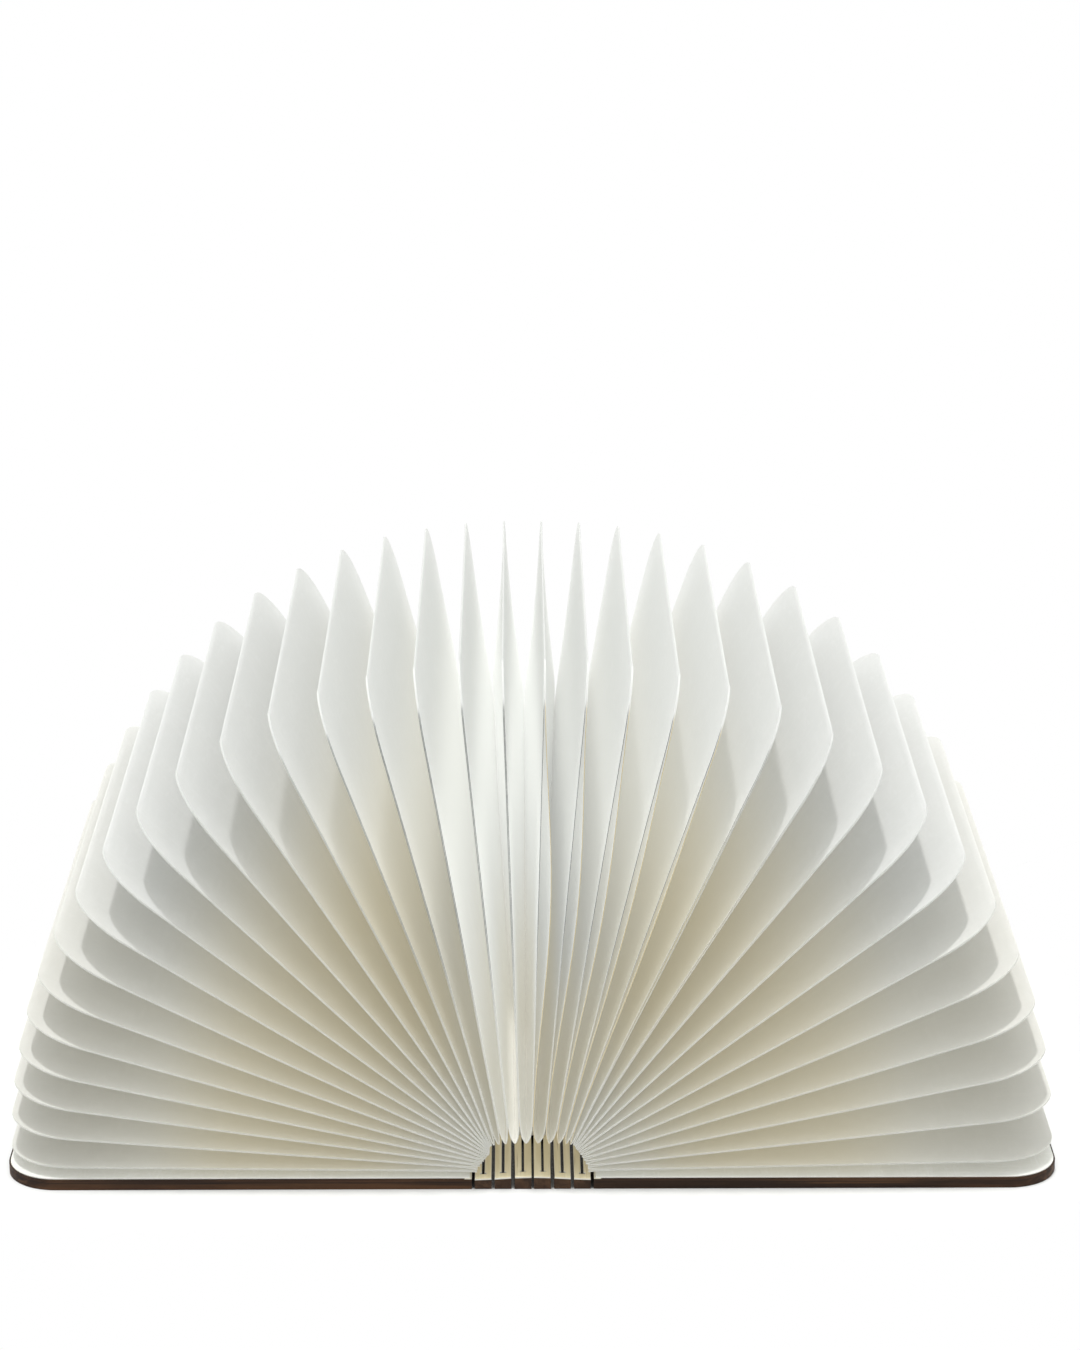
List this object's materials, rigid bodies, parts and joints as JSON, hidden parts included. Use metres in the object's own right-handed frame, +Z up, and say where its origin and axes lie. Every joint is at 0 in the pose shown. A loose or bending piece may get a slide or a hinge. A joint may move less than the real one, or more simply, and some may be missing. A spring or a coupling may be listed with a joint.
{
  "type": "folding book lamp",
  "caption": "Lamp shaped like a hardback book: wooden covers on a flexible slotted spine open flat and fan out folded translucent pages lit by a module on the spine.",
  "frame": {"origin": "middle of the open book on the plane it lies on, under the middle of the spine", "axes": "+X across the open covers to the right cover, +Y along the spine to the charging end, +Z up through the fan of pages"},
  "size_m": [0.368, 0.216, 0.187],
  "materials": {
    "cover_wood": "oiled walnut, satin",
    "spine_wood": "oiled walnut, satin, darkened in the slots",
    "lining": "matt",
    "page_sheet": "matt, faintly fibrous, translucent",
    "magnet": "nickel plated",
    "module_plastic": "fine matt",
    "white_board": "solder mask",
    "green_board": "solder mask",
    "light_chip": "clear resin",
    "diffuser": "frosted",
    "battery_foil": "foil pouch",
    "socket_steel": "stamped",
    "black_chip": "moulded",
    "screw_steel": "plain",
    "wire": "insulated"
  },
  "bodies": {
    "spine": {"spine_centre": "spine_wood", "module_tray": "module_plastic", "light_strip_board": "white_board", "light_chips": "light_chip", "diffuser": "diffuser", "battery_cell": "battery_foil", "service_lid": "module_plastic", "charging_board": "green_board", "charging_socket": "socket_steel", "opening_sensor": "black_chip", "module_screws": "screw_steel", "battery_wires": "wire", "light_wires": "wire"},
    "left_inner_slat": {"left_inner_slat": "spine_wood"},
    "left_outer_slat": {"left_outer_slat": "spine_wood"},
    "left_cover": {"left_cover": "cover_wood", "left_cover_liner": "lining", "left_cover_magnets": "magnet", "trigger_magnet": "magnet"},
    "right_inner_slat": {"right_inner_slat": "spine_wood"},
    "right_outer_slat": {"right_outer_slat": "spine_wood"},
    "right_cover": {"right_cover": "cover_wood", "right_cover_liner": "lining", "right_cover_magnets": "magnet"},
    "page_01": {"page_01": "page_sheet"},
    "page_02": {"page_02": "page_sheet"},
    "page_03": {"page_03": "page_sheet"},
    "page_04": {"page_04": "page_sheet"},
    "page_05": {"page_05": "page_sheet"},
    "page_06": {"page_06": "page_sheet"},
    "page_07": {"page_07": "page_sheet"},
    "page_08": {"page_08": "page_sheet"},
    "page_09": {"page_09": "page_sheet"},
    "page_10": {"page_10": "page_sheet"},
    "page_11": {"page_11": "page_sheet"},
    "page_12": {"page_12": "page_sheet"},
    "page_13": {"page_13": "page_sheet"},
    "page_14": {"page_14": "page_sheet"},
    "page_15": {"page_15": "page_sheet"},
    "page_16": {"page_16": "page_sheet"},
    "page_17": {"page_17": "page_sheet"},
    "page_18": {"page_18": "page_sheet"},
    "page_19": {"page_19": "page_sheet"},
    "page_20": {"page_20": "page_sheet"},
    "page_21": {"page_21": "page_sheet"},
    "page_22": {"page_22": "page_sheet"},
    "page_23": {"page_23": "page_sheet"},
    "page_24": {"page_24": "page_sheet"},
    "page_25": {"page_25": "page_sheet"},
    "page_26": {"page_26": "page_sheet"},
    "page_27": {"page_27": "page_sheet"},
    "page_28": {"page_28": "page_sheet"},
    "page_29": {"page_29": "page_sheet"},
    "page_30": {"page_30": "page_sheet"},
    "page_31": {"page_31": "page_sheet"},
    "page_32": {"page_32": "page_sheet"},
    "page_33": {"page_33": "page_sheet"},
    "page_34": {"page_34": "page_sheet"}
  },
  "joints": [
    {"name": "left_inner_slat_fold", "type": "hinge", "parent": "spine", "child": "left_inner_slat", "pos_m": [-0.0069, 0, 0.0019], "axis": [0, 1, 0], "range_deg": [-30, 30]},
    {"name": "left_outer_slat_fold", "type": "hinge", "parent": "left_inner_slat", "child": "left_outer_slat", "pos_m": [-0.0138, 0, 0.0019], "axis": [0, 1, 0], "range_deg": [-30, 30]},
    {"name": "left_cover_fold", "type": "hinge", "parent": "left_outer_slat", "child": "left_cover", "pos_m": [-0.0207, 0, 0.0019], "axis": [0, 1, 0], "range_deg": [-30, 30]},
    {"name": "right_inner_slat_fold", "type": "hinge", "parent": "spine", "child": "right_inner_slat", "pos_m": [0.0069, 0, 0.0019], "axis": [0, 1, 0], "range_deg": [-30, 30]},
    {"name": "right_outer_slat_fold", "type": "hinge", "parent": "right_inner_slat", "child": "right_outer_slat", "pos_m": [0.0138, 0, 0.0019], "axis": [0, 1, 0], "range_deg": [-30, 30]},
    {"name": "right_cover_fold", "type": "hinge", "parent": "right_outer_slat", "child": "right_cover", "pos_m": [0.0207, 0, 0.0019], "axis": [0, 1, 0], "range_deg": [-30, 30]},
    {"name": "page_01_turn", "type": "hinge", "parent": "spine", "child": "page_01", "pos_m": [-0.01473, 0, 0.00218], "axis": [0, 1, 0], "range_deg": [-89.3, 89.3]},
    {"name": "page_02_turn", "type": "hinge", "parent": "spine", "child": "page_02", "pos_m": [-0.01477, 0, 0.00231], "axis": [0, 1, 0], "range_deg": [-85.46, 85.46]},
    {"name": "page_03_turn", "type": "hinge", "parent": "spine", "child": "page_03", "pos_m": [-0.01487, 0, 0.00236], "axis": [0, 1, 0], "range_deg": [-81.52, 81.52]},
    {"name": "page_04_turn", "type": "hinge", "parent": "spine", "child": "page_04", "pos_m": [-0.01507, 0, 0.00233], "axis": [0, 1, 0], "range_deg": [-77.39, 77.39]},
    {"name": "page_05_turn", "type": "hinge", "parent": "spine", "child": "page_05", "pos_m": [-0.0154, 0, 0.00217], "axis": [0, 1, 0], "range_deg": [-72.98, 72.98]},
    {"name": "page_06_turn", "type": "hinge", "parent": "spine", "child": "page_06", "pos_m": [-0.0159, 0, 0.00186], "axis": [0, 1, 0], "range_deg": [-68.22, 68.22]},
    {"name": "page_07_turn", "type": "hinge", "parent": "spine", "child": "page_07", "pos_m": [-0.01662, 0, 0.00132], "axis": [0, 1, 0], "range_deg": [-63.07, 63.07]},
    {"name": "page_08_turn", "type": "hinge", "parent": "spine", "child": "page_08", "pos_m": [-0.01762, 0, 0.00046], "axis": [0, 1, 0], "range_deg": [-57.51, 57.51]},
    {"name": "page_09_turn", "type": "hinge", "parent": "spine", "child": "page_09", "pos_m": [-0.01899, 0, -0.00086], "axis": [0, 1, 0], "range_deg": [-51.59, 51.59]},
    {"name": "page_10_turn", "type": "hinge", "parent": "spine", "child": "page_10", "pos_m": [-0.02085, 0, -0.0028], "axis": [0, 1, 0], "range_deg": [-45.35, 45.35]},
    {"name": "page_11_turn", "type": "hinge", "parent": "spine", "child": "page_11", "pos_m": [-0.02336, 0, -0.0056], "axis": [0, 1, 0], "range_deg": [-38.93, 38.93]},
    {"name": "page_12_turn", "type": "hinge", "parent": "spine", "child": "page_12", "pos_m": [-0.02681, 0, -0.00957], "axis": [0, 1, 0], "range_deg": [-32.47, 32.47]},
    {"name": "page_13_turn", "type": "hinge", "parent": "spine", "child": "page_13", "pos_m": [-0.0317, 0, -0.01511], "axis": [0, 1, 0], "range_deg": [-26.16, 26.16]},
    {"name": "page_14_turn", "type": "hinge", "parent": "spine", "child": "page_14", "pos_m": [-0.03899, 0, -0.02269], "axis": [0, 1, 0], "range_deg": [-20.18, 20.18]},
    {"name": "page_15_turn", "type": "hinge", "parent": "spine", "child": "page_15", "pos_m": [-0.05075, 0, -0.03293], "axis": [0, 1, 0], "range_deg": [-14.71, 14.71]},
    {"name": "page_16_turn", "type": "hinge", "parent": "spine", "child": "page_16", "pos_m": [-0.07225, 0, -0.04681], "axis": [0, 1, 0], "range_deg": [-9.86, 9.86]},
    {"name": "page_17_turn", "type": "hinge", "parent": "spine", "child": "page_17", "pos_m": [-0.12205, 0, -0.06767], "axis": [0, 1, 0], "range_deg": [-5.63, 5.63]},
    {"name": "page_18_turn", "type": "hinge", "parent": "spine", "child": "page_18", "pos_m": [-0.35125, 0, -0.1289], "axis": [0, 1, 0], "range_deg": [-1.92, 1.92]},
    {"name": "page_19_turn", "type": "hinge", "parent": "spine", "child": "page_19", "pos_m": [0.4452, 0, 0.05359], "axis": [0, 1, 0], "range_deg": [-1.51, 1.51]},
    {"name": "page_20_turn", "type": "hinge", "parent": "spine", "child": "page_20", "pos_m": [0.13763, 0, -0.01689], "axis": [0, 1, 0], "range_deg": [-5, 5]},
    {"name": "page_21_turn", "type": "hinge", "parent": "spine", "child": "page_21", "pos_m": [0.08062, 0, -0.0244], "axis": [0, 1, 0], "range_deg": [-8.87, 8.87]},
    {"name": "page_22_turn", "type": "hinge", "parent": "spine", "child": "page_22", "pos_m": [0.05637, 0, -0.02202], "axis": [0, 1, 0], "range_deg": [-13.38, 13.38]},
    {"name": "page_23_turn", "type": "hinge", "parent": "spine", "child": "page_23", "pos_m": [0.04302, 0, -0.01689], "axis": [0, 1, 0], "range_deg": [-18.64, 18.64]},
    {"name": "page_24_turn", "type": "hinge", "parent": "spine", "child": "page_24", "pos_m": [0.03467, 0, -0.01161], "axis": [0, 1, 0], "range_deg": [-24.62, 24.62]},
    {"name": "page_25_turn", "type": "hinge", "parent": "spine", "child": "page_25", "pos_m": [0.02904, 0, -0.00713], "axis": [0, 1, 0], "range_deg": [-31.21, 31.21]},
    {"name": "page_26_turn", "type": "hinge", "parent": "spine", "child": "page_26", "pos_m": [0.02503, 0, -0.00368], "axis": [0, 1, 0], "range_deg": [-38.2, 38.2]},
    {"name": "page_27_turn", "type": "hinge", "parent": "spine", "child": "page_27", "pos_m": [0.02209, 0, -0.0012], "axis": [0, 1, 0], "range_deg": [-45.36, 45.36]},
    {"name": "page_28_turn", "type": "hinge", "parent": "spine", "child": "page_28", "pos_m": [0.0199, 0, 0.00048], "axis": [0, 1, 0], "range_deg": [-52.48, 52.48]},
    {"name": "page_29_turn", "type": "hinge", "parent": "spine", "child": "page_29", "pos_m": [0.01826, 0, 0.00155], "axis": [0, 1, 0], "range_deg": [-59.37, 59.37]},
    {"name": "page_30_turn", "type": "hinge", "parent": "spine", "child": "page_30", "pos_m": [0.01704, 0, 0.00217], "axis": [0, 1, 0], "range_deg": [-65.93, 65.93]},
    {"name": "page_31_turn", "type": "hinge", "parent": "spine", "child": "page_31", "pos_m": [0.01616, 0, 0.00246], "axis": [0, 1, 0], "range_deg": [-72.1, 72.1]},
    {"name": "page_32_turn", "type": "hinge", "parent": "spine", "child": "page_32", "pos_m": [0.01553, 0, 0.00253], "axis": [0, 1, 0], "range_deg": [-77.9, 77.9]},
    {"name": "page_33_turn", "type": "hinge", "parent": "spine", "child": "page_33", "pos_m": [0.01509, 0, 0.00244], "axis": [0, 1, 0], "range_deg": [-83.43, 83.43]},
    {"name": "page_34_turn", "type": "hinge", "parent": "spine", "child": "page_34", "pos_m": [0.01479, 0, 0.00223], "axis": [0, 1, 0], "range_deg": [-88.8, 88.8]}
  ],
  "couplings": [
    {"joint": "left_inner_slat_fold", "follows": "left_cover_fold", "ratio": 1},
    {"joint": "left_outer_slat_fold", "follows": "left_cover_fold", "ratio": 1},
    {"joint": "right_inner_slat_fold", "follows": "left_cover_fold", "ratio": -1},
    {"joint": "right_outer_slat_fold", "follows": "left_cover_fold", "ratio": -1},
    {"joint": "right_cover_fold", "follows": "left_cover_fold", "ratio": -1},
    {"joint": "page_01_turn", "follows": "left_cover_fold", "ratio": 2.9767},
    {"joint": "page_02_turn", "follows": "left_cover_fold", "ratio": 2.8488},
    {"joint": "page_03_turn", "follows": "left_cover_fold", "ratio": 2.7175},
    {"joint": "page_04_turn", "follows": "left_cover_fold", "ratio": 2.5797},
    {"joint": "page_05_turn", "follows": "left_cover_fold", "ratio": 2.4325},
    {"joint": "page_06_turn", "follows": "left_cover_fold", "ratio": 2.2739},
    {"joint": "page_07_turn", "follows": "left_cover_fold", "ratio": 2.1022},
    {"joint": "page_08_turn", "follows": "left_cover_fold", "ratio": 1.9171},
    {"joint": "page_09_turn", "follows": "left_cover_fold", "ratio": 1.7196},
    {"joint": "page_10_turn", "follows": "left_cover_fold", "ratio": 1.5118},
    {"joint": "page_11_turn", "follows": "left_cover_fold", "ratio": 1.2976},
    {"joint": "page_12_turn", "follows": "left_cover_fold", "ratio": 1.0823},
    {"joint": "page_13_turn", "follows": "left_cover_fold", "ratio": 0.87195},
    {"joint": "page_14_turn", "follows": "left_cover_fold", "ratio": 0.67282},
    {"joint": "page_15_turn", "follows": "left_cover_fold", "ratio": 0.49046},
    {"joint": "page_16_turn", "follows": "left_cover_fold", "ratio": 0.32851},
    {"joint": "page_17_turn", "follows": "left_cover_fold", "ratio": 0.18752},
    {"joint": "page_18_turn", "follows": "left_cover_fold", "ratio": 0.063886},
    {"joint": "page_19_turn", "follows": "left_cover_fold", "ratio": -0.050419},
    {"joint": "page_20_turn", "follows": "left_cover_fold", "ratio": -0.16651},
    {"joint": "page_21_turn", "follows": "left_cover_fold", "ratio": -0.29558},
    {"joint": "page_22_turn", "follows": "left_cover_fold", "ratio": -0.4459},
    {"joint": "page_23_turn", "follows": "left_cover_fold", "ratio": -0.62121},
    {"joint": "page_24_turn", "follows": "left_cover_fold", "ratio": -0.82077},
    {"joint": "page_25_turn", "follows": "left_cover_fold", "ratio": -1.0403},
    {"joint": "page_26_turn", "follows": "left_cover_fold", "ratio": -1.2733},
    {"joint": "page_27_turn", "follows": "left_cover_fold", "ratio": -1.5121},
    {"joint": "page_28_turn", "follows": "left_cover_fold", "ratio": -1.7493},
    {"joint": "page_29_turn", "follows": "left_cover_fold", "ratio": -1.9791},
    {"joint": "page_30_turn", "follows": "left_cover_fold", "ratio": -2.1976},
    {"joint": "page_31_turn", "follows": "left_cover_fold", "ratio": -2.4032},
    {"joint": "page_32_turn", "follows": "left_cover_fold", "ratio": -2.5967},
    {"joint": "page_33_turn", "follows": "left_cover_fold", "ratio": -2.7809},
    {"joint": "page_34_turn", "follows": "left_cover_fold", "ratio": -2.96}
  ]
}
